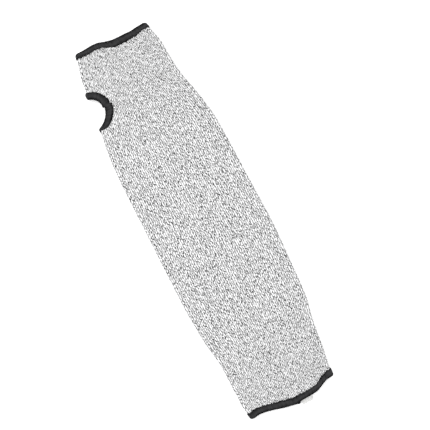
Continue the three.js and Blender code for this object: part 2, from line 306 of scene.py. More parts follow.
def lift_at(from_left, y):
    """How high the bound edges carry the underside."""
    end_zone = ARM_WAVE + UNDER_SETBACK + HEM_WIDTH
    from_end = LENGTH / 2 - np.abs(y) - end_zone
    from_thumb = np.abs(y - THUMB_Y) - THUMB_LENGTH / 2 - THUMB_RIM_WIDTH
    past_thumb = from_left - THUMB_GIRTH / 2 - THUMB_UNDER - THUMB_RIM_WIDTH
    end = smoothstep(from_end, 0, LIFT_FADE)
    near = (1 - smoothstep(from_thumb, 0, LIFT_FADE)) * (1 - smoothstep(past_thumb, 0, LIFT_FADE))
    return PROUD * (1 - end * (1 - near))


def middle_of_cloth(girth, y):
    """A point on the middle of the cloth; girth runs from the left fold, positive over the top."""
    along = y / LENGTH + 0.5
    layer = layer_width(y)
    up = np.where(girth < 0, -1, 1)
    run = np.abs(girth) - QUARTER
    flat = np.clip(run, 0, layer)
    bend = np.abs(run - flat) / FOLD_RADIUS
    side = np.where(run < 0, -1, 1)
    left = left_share(along) * WIDTH / 2
    x = HALF_WALL + FOLD_RADIUS - left + flat + side * FOLD_RADIUS * np.sin(bend)
    across = 2 * flat / layer - 1
    on_top = (1 + up * np.cos(bend)) / 2
    crown = crown_share(along) * CROWN * (1 - across**4) ** 2
    fold = HALF_WALL + FOLD_RADIUS * (1 + up * np.cos(bend))
    z = fold + lift_at(flat, y) + on_top * (crown + dents_at(x, y))
    return np.stack([x, y + 0 * x, z], -1)


def cloth_point(girth, y, out):
    """A point at a distance out from the middle of the cloth."""
    girth, y = np.broadcast_arrays(np.asarray(girth, float), np.asarray(y, float))
    around = middle_of_cloth(girth + NUDGE, y) - middle_of_cloth(girth - NUDGE, y)
    along = middle_of_cloth(girth, y + NUDGE) - middle_of_cloth(girth, y - NUDGE)
    outward = np.cross(around, along)
    outward /= np.linalg.norm(outward, axis=-1, keepdims=True)
    return middle_of_cloth(girth, y) + outward * np.broadcast_to(out, girth.shape)[..., None]


class Column:
    """Lines along the sleeve, each at a share of the way round from the left fold over the top."""

    def __init__(self, share):
        share = np.asarray(share, float) % 1
        layer = WIDTH - WALL - 2 * FOLD_RADIUS
        self.side = np.where(share <= 0.5, 1, -1)
        way = 2 * np.minimum(share, 1 - share) * (2 * QUARTER + layer)
        self.flat = np.clip((way - QUARTER) / layer, 0, 1)
        self.folded = np.minimum(way / QUARTER, 1) + np.maximum((way - QUARTER - layer) / QUARTER, 0)
        self.across = 2 * self.flat - 1
        bend = np.abs(self.folded - 1) * math.pi / 2
        self.under = (1 - self.side * np.cos(bend)) / 2
        self.corner = np.sin(bend) ** CORNER_SHARP
        self.ears = EARS * self.across**EARS_SHARP

    def girth(self, y):
        return self.side * (QUARTER * self.folded + layer_width(y) * self.flat)

    def hand_edge(self):
        back = HAND_WAVE * hand_dip(self.across) + UNDER_SETBACK * self.under - self.ears
        return LENGTH / 2 - PROUD - EDGE_IN - back - CORNER * self.corner

    def arm_edge(self):
        drawn = ARM_DRAWN * (1 - self.across**2) - self.ears
        back = ARM_WAVE * arm_dip(self.across) + UNDER_SETBACK * self.under + drawn
        return -LENGTH / 2 + PROUD + EDGE_IN + back + CORNER * self.corner

    def row(self, share):
        """Place along the sleeve of a row of the cloth, which follows the wave of the nearer end."""
        flat_arm, flat_hand = -LENGTH / 2 + PROUD, LENGTH / 2 - PROUD
        y = flat_arm + (flat_hand - flat_arm) * share
        arm = (self.arm_edge() - flat_arm) * (1 - smoothstep(y - flat_arm, 0, WAVE_FADE))
        hand = (self.hand_edge() - flat_hand) * (1 - smoothstep(flat_hand - y, 0, WAVE_FADE))
        return y + arm + hand


# Meshes


def signed_volume(points, faces):
    total = 0.0
    for corners in faces:
        for i in range(1, corners.shape[1] - 1):
            a, b, c = (points[corners[:, j]] for j in (0, i, i + 1))
            total += np.einsum("ij,ij->", a, np.cross(b, c)) / 6
    return total


def make_piece(name, points, faces, maps, materials, shades=None):
    """A smooth closed mesh from points in millimetres. faces is a list of arrays of corner numbers,
    one for each number of corners, maps gives each named map's places for the same corners, and
    shades numbers the material of each face."""
    if signed_volume(points, faces) < 0:
        faces = [corners[:, ::-1] for corners in faces]
        maps = {key: [places[:, ::-1] for places in value] for key, value in maps.items()}
    used = np.unique(np.concatenate([corners.ravel() for corners in faces]))
    number = np.zeros(len(points), int)
    number[used] = np.arange(len(used))
    points, faces = points[used], [number[corners] for corners in faces]
    mesh = bpy.data.meshes.new(name)
    counts = np.concatenate([np.full(len(f), f.shape[1]) for f in faces]).astype(np.int32)
    corners = np.concatenate([f.ravel() for f in faces]).astype(np.int32)
    mesh.vertices.add(len(points))
    mesh.vertices.foreach_set("co", (points * MM).astype(np.float32).ravel())
    mesh.loops.add(len(corners))
    mesh.loops.foreach_set("vertex_index", corners)
    mesh.polygons.add(len(counts))
    starts = np.concatenate([[0], np.cumsum(counts)[:-1]]).astype(np.int32)
    mesh.polygons.foreach_set("loop_start", starts)
    mesh.polygons.foreach_set("use_smooth", np.ones(len(counts), bool))
    if shades is not None:
        mesh.polygons.foreach_set("material_index", np.concatenate(shades).astype(np.int32))
    for key, places in maps.items():
        layer = mesh.uv_layers.new(name=key)
        flat = np.concatenate([p.reshape(-1, 2) for p in places]).astype(np.float32)
        layer.data.foreach_set("uv", flat.ravel())
    mesh.update()
    mesh.validate()
    for material in materials:
        mesh.materials.append(material)
    made = bpy.data.objects.new(name, mesh)
    bpy.context.scene.collection.objects.link(made)
    return made


def ring_faces(stations, count):
    """Quads of a closed loop of closed rings, with each corner's station and place in its ring."""
    i, j = np.meshgrid(np.arange(stations), np.arange(count), indexing="ij")
    near, far = i.ravel(), i.ravel() + 1
    low, high = j.ravel(), j.ravel() + 1
    at = np.stack([near, near, far, far], -1)
    place = np.stack([low, high, high, low], -1)
    return (at % stations) * count + place % count, at, place


# Knitted tube


class Face:
    """One face of the knitted tube as a grid of columns and rows, with the thumb hole cut out."""

    def __init__(self, steps, rows, out_at):
        self.columns = WALES * steps
        self.steps, self.rows, self.out_at = steps, rows, out_at
        share = np.arange(self.columns) / self.columns
        column = Column(share)
        self.y = np.stack([column.row(row / rows) for row in range(rows + 1)], 1)
        self.girth = column.girth(self.y.T).T
        wale = np.broadcast_to((share * WALES)[:, None], self.y.shape)
        course = np.broadcast_to(np.arange(rows + 1) / rows * COURSES, self.y.shape)
        across = (self.girth + THUMB_UNDER) / (THUMB_GIRTH / 2)
        along = (self.y - THUMB_Y) / (THUMB_LENGTH / 2)
        self.outside = across**2 + along**2 > 1
        points = cloth_point(self.girth, self.y, out_at(wale))
        self.points = [points.reshape(-1, 3)]
        self.places = [np.stack([wale, course], -1).reshape(-1, 2)]
        self.cut = {}
        self.cut_angles = []
        self.make_cells()

    def number(self, i, j):
        return (i % self.columns) * (self.rows + 1) + j

    def from_hole(self, number):
        """A grid point's place from the middle of the thumb hole, whose edge is at 1."""
        girth, y = self.girth.ravel()[number], self.y.ravel()[number]
        return np.array([(girth + THUMB_UNDER) / THUMB_GIRTH, (y - THUMB_Y) / THUMB_LENGTH]) * 2

    def crossing(self, a, b):
        """The point where the cut edge of the thumb hole crosses between two points of the grid."""
        key = (min(a, b), max(a, b))
        if key not in self.cut:
            a, b = key
            start, end = self.from_hole(a), self.from_hole(b)
            step = end - start
            k2, k1, k0 = step @ step, 2 * start @ step, start @ start - 1
            root = math.sqrt(k1 * k1 - 4 * k2 * k0)
            share = next(t for t in ((-k1 - root) / (2 * k2), (-k1 + root) / (2 * k2)) if 0 <= t <= 1)
            near, far = self.places[0][a], self.places[0][b]
            if abs(far[0] - near[0]) > WALES / 2:
                far = far + np.array([WALES, 0]) * np.sign(near[0] - far[0])
            place = near + (far - near) * share
            spot = start + step * share
            girth = spot[0] * THUMB_GIRTH / 2 - THUMB_UNDER
            y = spot[1] * THUMB_LENGTH / 2 + THUMB_Y
            point = cloth_point(girth, y, self.out_at(place[0]))
            self.cut[key] = sum(len(p) for p in self.points)
            self.points.append(point.reshape(1, 3))
            self.places.append(place.reshape(1, 2))
            self.cut_angles.append(math.atan2(spot[1], spot[0]))
        return self.cut[key]

    def make_cells(self):
        i, j = np.meshgrid(np.arange(self.columns), np.arange(self.rows), indexing="ij")
        i, j = i.ravel(), j.ravel()
        around = [(i, j), (i + 1, j), (i + 1, j + 1), (i, j + 1)]
        corners = np.stack([self.number(*corner) for corner in around], -1)
        kept = self.outside.ravel()[corners]
        whole = kept.all(1)
        self.quads = corners[whole]
        self.quad_wale = i[whole] / self.steps
        tris, tri_wales = [], []
        for cell in np.flatnonzero(kept.any(1) & ~whole):
            loop = []
            for a, b in zip(corners[cell], np.roll(corners[cell], -1)):
                if self.outside.ravel()[a]:
                    loop.append(a)
                if self.outside.ravel()[a] != self.outside.ravel()[b]:
                    loop.append(self.crossing(a, b))
            for k in range(1, len(loop) - 1):
                tris.append((loop[0], loop[k], loop[k + 1]))
                tri_wales.append(i[cell] / self.steps)
        self.tris = np.array(tris)
        self.tri_wale = np.array(tri_wales)
        self.all_points = np.concatenate(self.points)
        self.all_places = np.concatenate(self.places)

    def stitch_places(self, faces, wales):
        """Stitch places of the corners of faces, carried on past the place where the tube closes."""
        places = self.all_places[faces].copy()
        places[..., 0] += WALES * (places[..., 0] < wales[:, None] - 1)
        return places

    def end_loop(self, row):
        return self.number(np.arange(self.columns), row), np.arange(self.columns) / self.columns

    def thumb_loop(self):
        order = np.argsort(self.cut_angles)
        numbers = np.array(list(self.cut.values()))[order]
        angles = np.array(self.cut_angles)[order]
        return numbers, angles / (2 * math.pi) + 0.5


def zip_loops(near, near_at, far, far_at):
    """Triangles between two closed loops whose points lie at growing shares of the way round."""
    tris = []
    i = j = 0
    near_ahead = [*near_at[1:], 1 + near_at[0], math.inf]
    far_ahead = [*far_at[1:], 1 + far_at[0], math.inf]
    while i < len(near) or j < len(far):
        a, b = near[i % len(near)], far[j % len(far)]
        if near_ahead[i] <= far_ahead[j]:
            tris.append((a, near[(i + 1) % len(near)], b))
            i += 1
        else:
            tris.append((a, far[(j + 1) % len(far)], b))
            j += 1
    return np.array(tris)


def knitted_tube(materials):
    def ribbed(wale):
        return HALF_WALL - RIB * (1 + np.cos(2 * math.pi * wale)) / 2

    def smooth(wale):
        return -HALF_WALL + 0 * wale

    outer = Face(RIB_STEPS, OUTER_ROWS, ribbed)
    inner = Face(INNER_STEPS, INNER_ROWS, smooth)
    shift = len(outer.all_points)
    points = np.concatenate([outer.all_points, inner.all_points])
    quads = [outer.quads, inner.quads[:, ::-1] + shift]
    tris = [outer.tris, inner.tris[:, ::-1] + shift]
    quad_places = [
        outer.stitch_places(outer.quads, outer.quad_wale),
        inner.stitch_places(inner.quads, inner.quad_wale)[:, ::-1],
    ]
    tri_places = [
        outer.stitch_places(outer.tris, outer.tri_wale),
        inner.stitch_places(inner.tris, inner.tri_wale)[:, ::-1],
    ]
    joins = []
    for near, far, flip in [
        (outer.end_loop(0), inner.end_loop(0), True),
        (outer.end_loop(OUTER_ROWS), inner.end_loop(INNER_ROWS), False),
        (outer.thumb_loop(), inner.thumb_loop(), False),
    ]:
        strip = zip_loops(near[0], near[1], far[0] + shift, far[1])
        joins.append(strip[:, ::-1] if flip else strip)
    joins = np.concatenate(joins)
    all_places = np.concatenate([outer.all_places, inner.all_places])
    join_places = all_places[joins]
    join_places[:] = join_places[:, :1]
    stitches = [np.concatenate(quad_places), np.concatenate(tri_places + [join_places])]
    inside = [
        np.repeat([0, 1], [len(quads[0]), len(quads[1])]),
        np.repeat([0, 1, 0], [len(tris[0]), len(tris[1]), len(joins)]),
    ]
    baked = []
    for places, face in zip(stitches, inside):
        across = places[..., 0] / WALES
        low = np.where(face == 0, BAKE_OUTSIDE[0], BAKE_INSIDE[0])[:, None]
        high = np.where(face == 0, BAKE_OUTSIDE[1], BAKE_INSIDE[1])[:, None]
        along = BAKE_RIM + places[..., 1] / COURSES * (1 - 2 * BAKE_RIM)
        baked.append(np.stack([along, low + (high - low) * across], -1))
    faces = [np.concatenate(quads), np.concatenate(tris + [joins])]
    maps = {"Stitches": stitches, "OFBake": baked}
    return make_piece("sleeve_knit", points, faces, maps, materials, inside)


# Edge binding


def rim_outline():
    """Section of a bound edge, from its stitched edge on the outside, round its nose, to its
    stitched edge on the inside and back along the cloth. Gives, for each point, the share of the
    way in from the cut edge, a fixed distance in, the distance out from the middle of the cloth,
    the way that its threads stand out, and how far round it lies from -1 to 1."""
    face, half = HALF_WALL + GAP, HALF_WALL + GAP + BINDING
    rows = []
    for share in RIM_SHARES:
        swell = min(1, (1 - share) / EDGE_RISE)
        out = face + EDGE_LIP + (BINDING - EDGE_LIP) * math.sqrt(1 - (1 - swell) ** 2)
        rows.append((share, 0, out, 0, 1, -(NOSE_TURN + (1 - NOSE_TURN) * share)))
    nose = []
    for step in range(1, NOSE_STEPS):
        angle = math.pi / 2 + math.pi * step / NOSE_STEPS
        c, s = math.cos(angle), math.sin(angle)
        inward = -PROUD * abs(c) ** NOSE_SQUARE
        out = math.copysign(half * abs(s) ** NOSE_SQUARE, s)
        nose.append((0, inward, out, c, s, NOSE_TURN * (2 * step / NOSE_STEPS - 1)))
    under = [(share, 0, -out, 0, -1, -round_it) for share, _, out, _, _, round_it in reversed(rows)]
    low = [*((share, 0, -face) for share in BED_SHARES), (0, -GAP, -face)]
    bed = low + [(share, inward, -out) for share, inward, out in reversed(low)]
    last = len(bed) - 1
    flat = [(*point, 0, 0, 1 - 2 * i / last) for i, point in enumerate(bed)]
    return np.array(rows + nose + under + flat)


def wander(count, wave, seed):
    """An even random value for each thread, from about -1 to 1, that drifts over wave threads."""
    values = np.random.default_rng(seed).normal(size=count)
    reach = np.exp(-0.5 * (np.minimum(np.arange(count), count - np.arange(count)) / wave) ** 2)
    drift = np.real(np.fft.ifft(np.fft.fft(values) * np.fft.fft(reach)))
    return drift / max(np.abs(drift).max(), 1e-6)


def ragged_edge(threads, ridge, seed, ragged_by):
    """How much further in than even the stitches reach, at each station along a stitched edge."""
    drift = wander(threads, RAGGED_WAVE, seed) * RAGGED_DRIFT
    bite = np.random.default_rng(seed + 10).uniform(-RAGGED_BITE, RAGGED_BITE, threads)
    thread = np.arange(threads * THREAD_STEPS) // THREAD_STEPS
    return ragged_by * (drift + bite)[thread] + RAGGED_TOOTH * (ridge - 0.5)


def bound_edge(
    name, length, width_at, point_at, material, seed, swell_at=None, tail=None, ragged_by=1
):
    """A band of binding thread that wraps a cut edge. length is the edge's length, width_at gives
    the band's width and point_at its points, from the share of the way along and the distances in
    from the cut edge and out from the middle of the cloth. swell_at gives how far the band stands
    out beyond its usual thickness, tail is a loose end of its thread, and ragged_by is less than 1
    where its stitched edge is neater."""
    threads = round(length / THREAD_PITCH)
    stations = threads * THREAD_STEPS
    share = np.arange(stations) / stations
    outline = rim_outline()
    ridge_at_edge = np.abs(np.cos(math.pi * (np.arange(stations) / THREAD_STEPS)))
    ragged = [ragged_edge(threads, ridge_at_edge, seed + side, ragged_by) for side in (0, 1)]
    fat = wander(threads, UNEVEN_WAVE, seed + 20)[np.arange(stations) // THREAD_STEPS]
    top_end, low_end = (width_at(share) - PROUD + more for more in ragged)
    way_in, fixed, out, nx, nz, turn = (column[None, :] for column in outline.T)
    reach = np.maximum(np.where(out > 0, top_end[:, None], low_end[:, None]), LEAST_REACH)
    phase = share[:, None] * threads + THREAD_LEAN * turn
    ridge = np.abs(np.cos(math.pi * phase)) ** THREAD_ROUND
    calm = 1 - EDGE_CALM * (way_in > EDGE_SHARE)
    deep = THREAD_RELIEF * (1 - ridge) * (1 - THREAD_UNEVEN * fat[:, None]) * calm
    swell = 0 if swell_at is None else swell_at(share)[:, None]
    inward = way_in * reach + fixed - nx * deep + nx * swell
    height = out - nz * deep + nz * swell * (1 - way_in)
    points = point_at(share[:, None] + 0 * inward, inward, height)
    count = len(outline)
    faces, at, place = ring_faces(stations, count)
    steps = np.linalg.norm(np.diff(outline[:, :3] * (BAKE_WIDTH, 1, 1), axis=0), axis=1)
    run = np.concatenate([[0], np.cumsum(steps)])
    run = np.append(run, run[-1] + 1) / (run[-1] + 1)
    threads_at = at / THREAD_STEPS
    turn_at = np.append(outline[:, 5], 1.0)[place]
    stitches = np.stack([threads_at + THREAD_LEAN * turn_at, turn_at], -1)
    baked = BAKE_RIMS + np.stack([at / stations, run[place]], -1) * (1 - 2 * BAKE_RIMS)
    points = points.reshape(-1, 3)
    if signed_volume(points, [faces]) < 0:
        faces, stitches, baked = faces[:, ::-1], stitches[:, ::-1], baked[:, ::-1]
    faces, stitches, baked = [faces], [stitches], [baked]
    if tail is not None:
        tail_points, *tail_faces = tail
        for corners in tail_faces:
            faces.append(corners + len(points))
            stitches.append(tail_points[corners][..., :2] * TAIL_GRAIN)
            baked.append(np.full(corners.shape + (2,), 1 - BAKE_RIM))
        points = np.concatenate([points, tail_points])
    return make_piece(name, points, faces, {"Stitches": stitches, "OFBake": baked}, [material])


def thread_end(path):
    """A short twisted end of thread: its points, quads and triangles."""
    path = np.array(path, float)
    count = len(path)
    along = np.gradient(path, axis=0)
    along /= np.linalg.norm(along, axis=1, keepdims=True)
    side = np.cross(along, (0, 0, 1))
    side /= np.linalg.norm(side, axis=1, keepdims=True)
    up = np.cross(side, along)
    rings = []
    angle = np.arange(TAIL_SIDES)[:, None] / TAIL_SIDES * 2 * math.pi
    for i in range(count):
        blunt = 1 - abs(2 * i / (count - 1) - 1) ** TAIL_BLUNT
        fat = TAIL_RADIUS * math.sqrt(blunt) + TAIL_LEAST
        lobed = fat * (1 + TAIL_LOBES * np.cos(2 * angle + i * TAIL_TWIST))
        rings.append(path[i] + lobed * (np.cos(angle) * side[i] + np.sin(angle) * up[i]))
    points = np.concatenate([*rings, path[:1], path[-1:]])
    i, j = np.meshgrid(np.arange(count - 1), np.arange(TAIL_SIDES), indexing="ij")
    i, j = i.ravel(), j.ravel()
    k = (j + 1) % TAIL_SIDES
    quads = np.stack([i, i, i + 1, i + 1], -1) * TAIL_SIDES + np.stack([j, k, k, j], -1)
    ring = np.arange(TAIL_SIDES)
    ahead = (ring + 1) % TAIL_SIDES
    last_ring = (count - 1) * TAIL_SIDES
    start_tip = np.full(TAIL_SIDES, count * TAIL_SIDES)
    start = np.stack([ahead, ring, start_tip], -1)
    end = np.stack([ring + last_ring, ahead + last_ring, start_tip + 1], -1)
    tris = np.concatenate([start, end])
    if signed_volume(points, [quads, tris]) < 0:
        quads, tris = quads[:, ::-1], tris[:, ::-1]
    return points, quads, tris


def hem(name, edge_of, width_of, way, material, seed, tail=None):
    """The band round one end; way is 1 where the cloth lies towards +Y and -1 where towards -Y."""
    full = Column(np.arange(HEM_SAMPLES) / HEM_SAMPLES)
    rim = cloth_point(full.girth(edge_of(full)), edge_of(full), 0)
    steps = np.linalg.norm(np.roll(rim, -1, 0) - rim, axis=1)
    travelled = np.concatenate([[0], np.cumsum(steps)])
    even = np.arange(HEM_SAMPLES + 1) / HEM_SAMPLES

    def share_round(share):
        return np.interp(share * travelled[-1], travelled, even)

    def width_at(share):
        column = Column(share_round(share))
        return HEM_WIDTH * width_of(column.across) + HEM_MORE - CORNER_NARROW * column.corner

    def point_at(share, inward, out):
        column = Column(share_round(share))
        y = edge_of(column) + way * inward
        return cloth_point(column.girth(y), y, out)

    return bound_edge(name, travelled[-1], width_at, point_at, material, seed, tail=tail)


def thumb_band(material):
    half_girth, half_length = THUMB_GIRTH / 2, THUMB_LENGTH / 2
    length = math.pi * (half_girth + half_length)

    def at_fold(share, hand, reach):
        """1 where the rim turns the fold on its hand side, or on its arm side, and 0 elsewhere."""
        girth = half_girth * np.cos(2 * math.pi * share) - THUMB_UNDER
        return np.exp(-((girth / reach) ** 2)) * ((np.sin(2 * math.pi * share) > 0) == hand)

    def past_lap(share):
        """Distance on from the lap, to the hand side, from minus to plus half the way round."""
        return ((share - LAP_PLACE + 0.5) % 1 - 0.5) * length

    def step_at(share):
        """The two ends of the binding meet side by side: one nearer to the hole, one further out."""
        past = past_lap(share)
        return np.where(past > 0, -LAP_STEP_NEAR, LAP_STEP_FAR) * np.exp(-np.abs(past) / LAP_FADE)

    def overlap(share):
        """The end of the binding lies over its start."""
        past = past_lap(share)
        return LAP_SWELL * (past > 0) * np.exp(-np.abs(past) / LAP_FADE)

    def width_at(share):
        even = THUMB_RIM_WIDTH * (1 - THUMB_RIM_TAPER * np.sin(2 * math.pi * share) ** 2)
        full = even + HEM_MORE + THUMB_FULL * np.maximum(np.cos(2 * math.pi * share), 0)
        full = full + THUMB_ARM_FULL * np.maximum(-np.sin(2 * math.pi * share), 0) ** 0.5
        wider = THUMB_WIDE * at_fold(share, True, THUMB_WIDE_TURN)
        return full + wider - THUMB_NARROW * at_fold(share, False, THUMB_NARROW_TURN)

    def point_at(share, inward, out):
        angle = 2 * math.pi * share
        c, s = np.cos(angle), np.sin(angle)
        away = np.stack([c * half_girth / THUMB_GIRTH**2, s * half_length / THUMB_LENGTH**2], -1)
        away /= np.linalg.norm(away, axis=-1, keepdims=True)
        round_band = np.sqrt(np.maximum(0, 1 - ((inward - THUMB_MIDDLE) / THUMB_SPAN) ** 2))
        bulge = THUMB_BULGE * at_fold(share, True, THUMB_TURN) * round_band
        out = out + bulge * np.sign(out) * (np.abs(out) > HALF_WALL + GAP + OUTER_FACE)
        inward = inward + step_at(share) - THUMB_WIDE * at_fold(share, True, THUMB_WIDE_TURN)
        girth = half_girth * c - THUMB_UNDER + away[..., 0] * inward
        place = cloth_point(girth, THUMB_Y + half_length * s + away[..., 1] * inward, out)
        place[..., 2] = np.maximum(place[..., 2], TABLE_TOUCH)  # the bunched underside lies flat
        return place

    return bound_edge(
        "thumb_rim", length, width_at, point_at, material, THUMB_SEED, overlap, None, THUMB_RAGGED
    )


# Size label


def woven_label(material):
    """A blank strip folded double, sewn in under the hem, whose folded end droops beyond it."""
    across = LABEL_SIDE / (WIDTH / 2 * right_share(0))
    edge = -LENGTH / 2 + PROUD + ARM_WAVE * arm_dip(across) + UNDER_SETBACK
    tip, root = -LENGTH / 2 - LABEL_REACH - LABEL_MORE, edge + LABEL_HOLD
    bed = WALL + PROUD + PROUD + GAP + LABEL_WALL / 2
    rows, columns = LABEL_ROWS, LABEL_COLUMNS
    y = root + (tip - root) * np.linspace(0, 1, rows + 1)
    free = np.clip((edge - PROUD - y) / (edge - PROUD - tip), 0, 1)
    x = np.linspace(-1, 1, columns + 1)
    wave = LABEL_RIPPLE * np.sin(x * 2.1 + 0.4)[None, :] * free[:, None] ** 2
    middle = bed - LABEL_DROOP * free[:, None] ** 2 + wave
    from_selvedge = (np.abs(x) - 1 + LABEL_SELVEDGE) / LABEL_SELVEDGE
    edge_round = np.sqrt(np.maximum(0, 1 - np.clip(from_selvedge, 0, 1) ** 2))
    rings = []
    for row in range(rows + 1):
        tip_end = min(1, (rows - row) / TIP_ROWS + TIP_LEAST) ** 0.5
        root_end = min(1, row + ROOT_START) ** 0.5
        thick = LABEL_WALL / 2 * edge_round * tip_end * root_end
        top, low = (
            np.stack([LABEL_SIDE + x * LABEL_WIDTH / 2, np.full_like(x, y[row]), height], -1)
            for height in (middle[row] + thick, middle[row] - thick)
        )
        rings.append(np.concatenate([top[::-1], low[1:-1]]))
    points = np.array(rings)
    count = points.shape[1]
    i, j = np.meshgrid(np.arange(rows), np.arange(count), indexing="ij")
    i, j = i.ravel(), j.ravel()
    at = np.stack([i, i, i + 1, i + 1], -1)
    place = np.stack([j, j + 1, j + 1, j], -1)
    faces = at * count + place % count
    # The root and the tip are closed by strips between the two faces.
    across_places = np.concatenate([x[::-1], x[1:-1], x[-1:]])
    threads = np.stack([across_places[place] * LABEL_WIDTH / 2, at / rows * abs(root - tip)], -1)
    baked = LABEL_BAKE_START + np.stack([at / rows, place / count], -1) * LABEL_BAKE
    caps = []
    for row, flip in ((0, False), (rows, True)):
        for k in range(columns):
            a, b = row * count + k, row * count + k + 1
            c = row * count + (count - k - 1) if k < columns - 1 else b
            d = row * count + (count - k) % count if k else a
            cap = list(dict.fromkeys([a, d, c, b]))
            caps.append(cap[::-1] if flip else cap)
    quads, tris = (np.array([cap for cap in caps if len(cap) == corners]) for corners in (4, 3))

    def with_caps(places, at_caps):
        """Places of the sides, with one place for all of the caps."""
        quad_places, tri_places = (np.full(f.shape + (2,), at_caps) for f in (quads, tris))
        return [np.concatenate([places, quad_places]), tri_places]

    maps = {"Stitches": with_caps(threads, 0.0), "OFBake": with_caps(baked, LABEL_BAKE_CAP)}
    faces = [np.concatenate([faces, quads]), tris]
    return make_piece("label_strip", points.reshape(-1, 3), faces, maps, [material])


# Finishes


class Link:
    """A node's output. Arithmetic on links and numbers adds Math nodes."""

    def __init__(self, finish, socket):
        self.finish, self.socket = finish, socket

    def math(self, operation, *others):
        sockets = dict(enumerate([self, *others]))
        return self.finish.add("ShaderNodeMath", {"operation": operation}, sockets)

    def __add__(self, other):
        return self.math("ADD", other)

    __radd__ = __add__

    def __sub__(self, other):
        return self.math("SUBTRACT", other)

    def __rsub__(self, other):
        return self.finish.add("ShaderNodeMath", {"operation": "SUBTRACT"}, {0: other, 1: self})

    def __mul__(self, other):
        return self.math("MULTIPLY", other)

    __rmul__ = __mul__

    def __truediv__(self, other):
        return self.math("DIVIDE", other)

    def __pow__(self, other):
        return self.math("POWER", other)

    def __abs__(self):
        return self.math("ABSOLUTE")

    def __gt__(self, other):
        return self.math("GREATER_THAN", other)

    def floor(self):
        return self.math("FLOOR")

    def fract(self):
        return self.math("FRACT")

    def sine(self):
        return self.math("SINE")

    def held(self):
        """The value held between 0 and 1."""
        return self.math("MAXIMUM", 0).math("MINIMUM", 1)


class Finish:
    """A material. add() makes one node: its settings are set first, then its sockets."""

    def __init__(self, name):
        self.material = bpy.data.materials.new(name)
        self.material.use_nodes = True
        self.nodes, self.links = self.material.node_tree.nodes, self.material.node_tree.links
        self.nodes.clear()

    def add(self, kind, settings=None, sockets=None, out=0):
        node = self.nodes.new(kind)
        for key, value in (settings or {}).items():
            setattr(node, key, value)
        for key, value in (sockets or {}).items():
            if isinstance(value, Link):
                self.links.new(value.socket, node.inputs[key])
            else:
                node.inputs[key].default_value = value
        return Link(self, node.outputs[out]) if len(node.outputs) else node

    def stitches(self):
        """Place in stitches: columns, or threads, first and courses second."""
        place = self.add("ShaderNodeUVMap", {"uv_map": "Stitches"})
        return [self.add("ShaderNodeSeparateXYZ", None, {0: place}, out) for out in (0, 1)]

    def chance(self, x, y):
        """An even random value for each whole place."""
        spot = self.add("ShaderNodeCombineXYZ", None, {0: x, 1: y})
        return self.add("ShaderNodeTexWhiteNoise", {"noise_dimensions": "2D"}, {"Vector": spot})

    def drift(self, x, y, detail=2.0):
        """Soft noise from 0 to 1."""
        spot = self.add("ShaderNodeCombineXYZ", None, {0: x, 1: y})
        sockets = {"Vector": spot, "Scale": 1.0, "Detail": detail, "Roughness": 0.6}
        return self.add("ShaderNodeTexNoise", {"noise_dimensions": "2D"}, sockets)

    def blend(self, share, low, high):
        return self.add("ShaderNodeMix", {"data_type": "RGBA"}, {0: share, 6: low, 7: high}, 2)

    def bump(self, height, depth):
        sockets = {"Strength": 1.0, "Distance": depth * MM, "Height": height}
        return self.add("ShaderNodeBump", None, sockets)

    def cloth(self, **sockets):
        """The shader; underlines in the names of its sockets stand for spaces."""
        named = {key.replace("_", " "): value for key, value in sockets.items()}
        shader = self.add("ShaderNodeBsdfPrincipled", None, named)
        self.add("ShaderNodeOutputMaterial", None, {"Surface": shader})
        return self.material


WHITE_YARN = (0.92, 0.922, 0.924, 1)
GREY_YARN = (0.024, 0.0244, 0.025, 1)
KNIT_LIGHT = 1.14
FURROW_PAINTED_SHADE = 0.84  # painted shade: how much darker the furrow between two columns is
KNIT_SPECKLE = 4.5  # the higher, the fewer flecks are between dark and light
FLECK_APART = (2, 1)  # half legs across and courses along
FLECK_EVEN = 0.35  # how much the two flecks beside one count against it
STITCH_RISE = 2.1  # courses that a leg of a stitch climbs for each column's width
WOBBLE_ACROSS, WOBBLE_ALONG = 0.22, 0.35
WOBBLE_SCALE = 0.9
PLY_TURNS, PLY_SLANT = 2.2, 4.6
PLY_TONE, STRAND_TONE = 0.3, 0.8
YARN_PAINTED_SHADE = 0.3  # painted shade: how much darker the yarn is where it dives under the next
PURL_WAVE = 0.32  # courses that the loops on the inside rise and fall
KNIT_DEPTH = 0.45


def knit_cloth(knit, base, tone, height):
    return knit.cloth(
        Base_Color=base,
        Roughness=0.86 + tone * 0.08,
        Normal=knit.bump(height, KNIT_DEPTH),
        IOR=1.45,
        Sheen_Weight=0.12,
        Sheen_Roughness=0.5,
    )


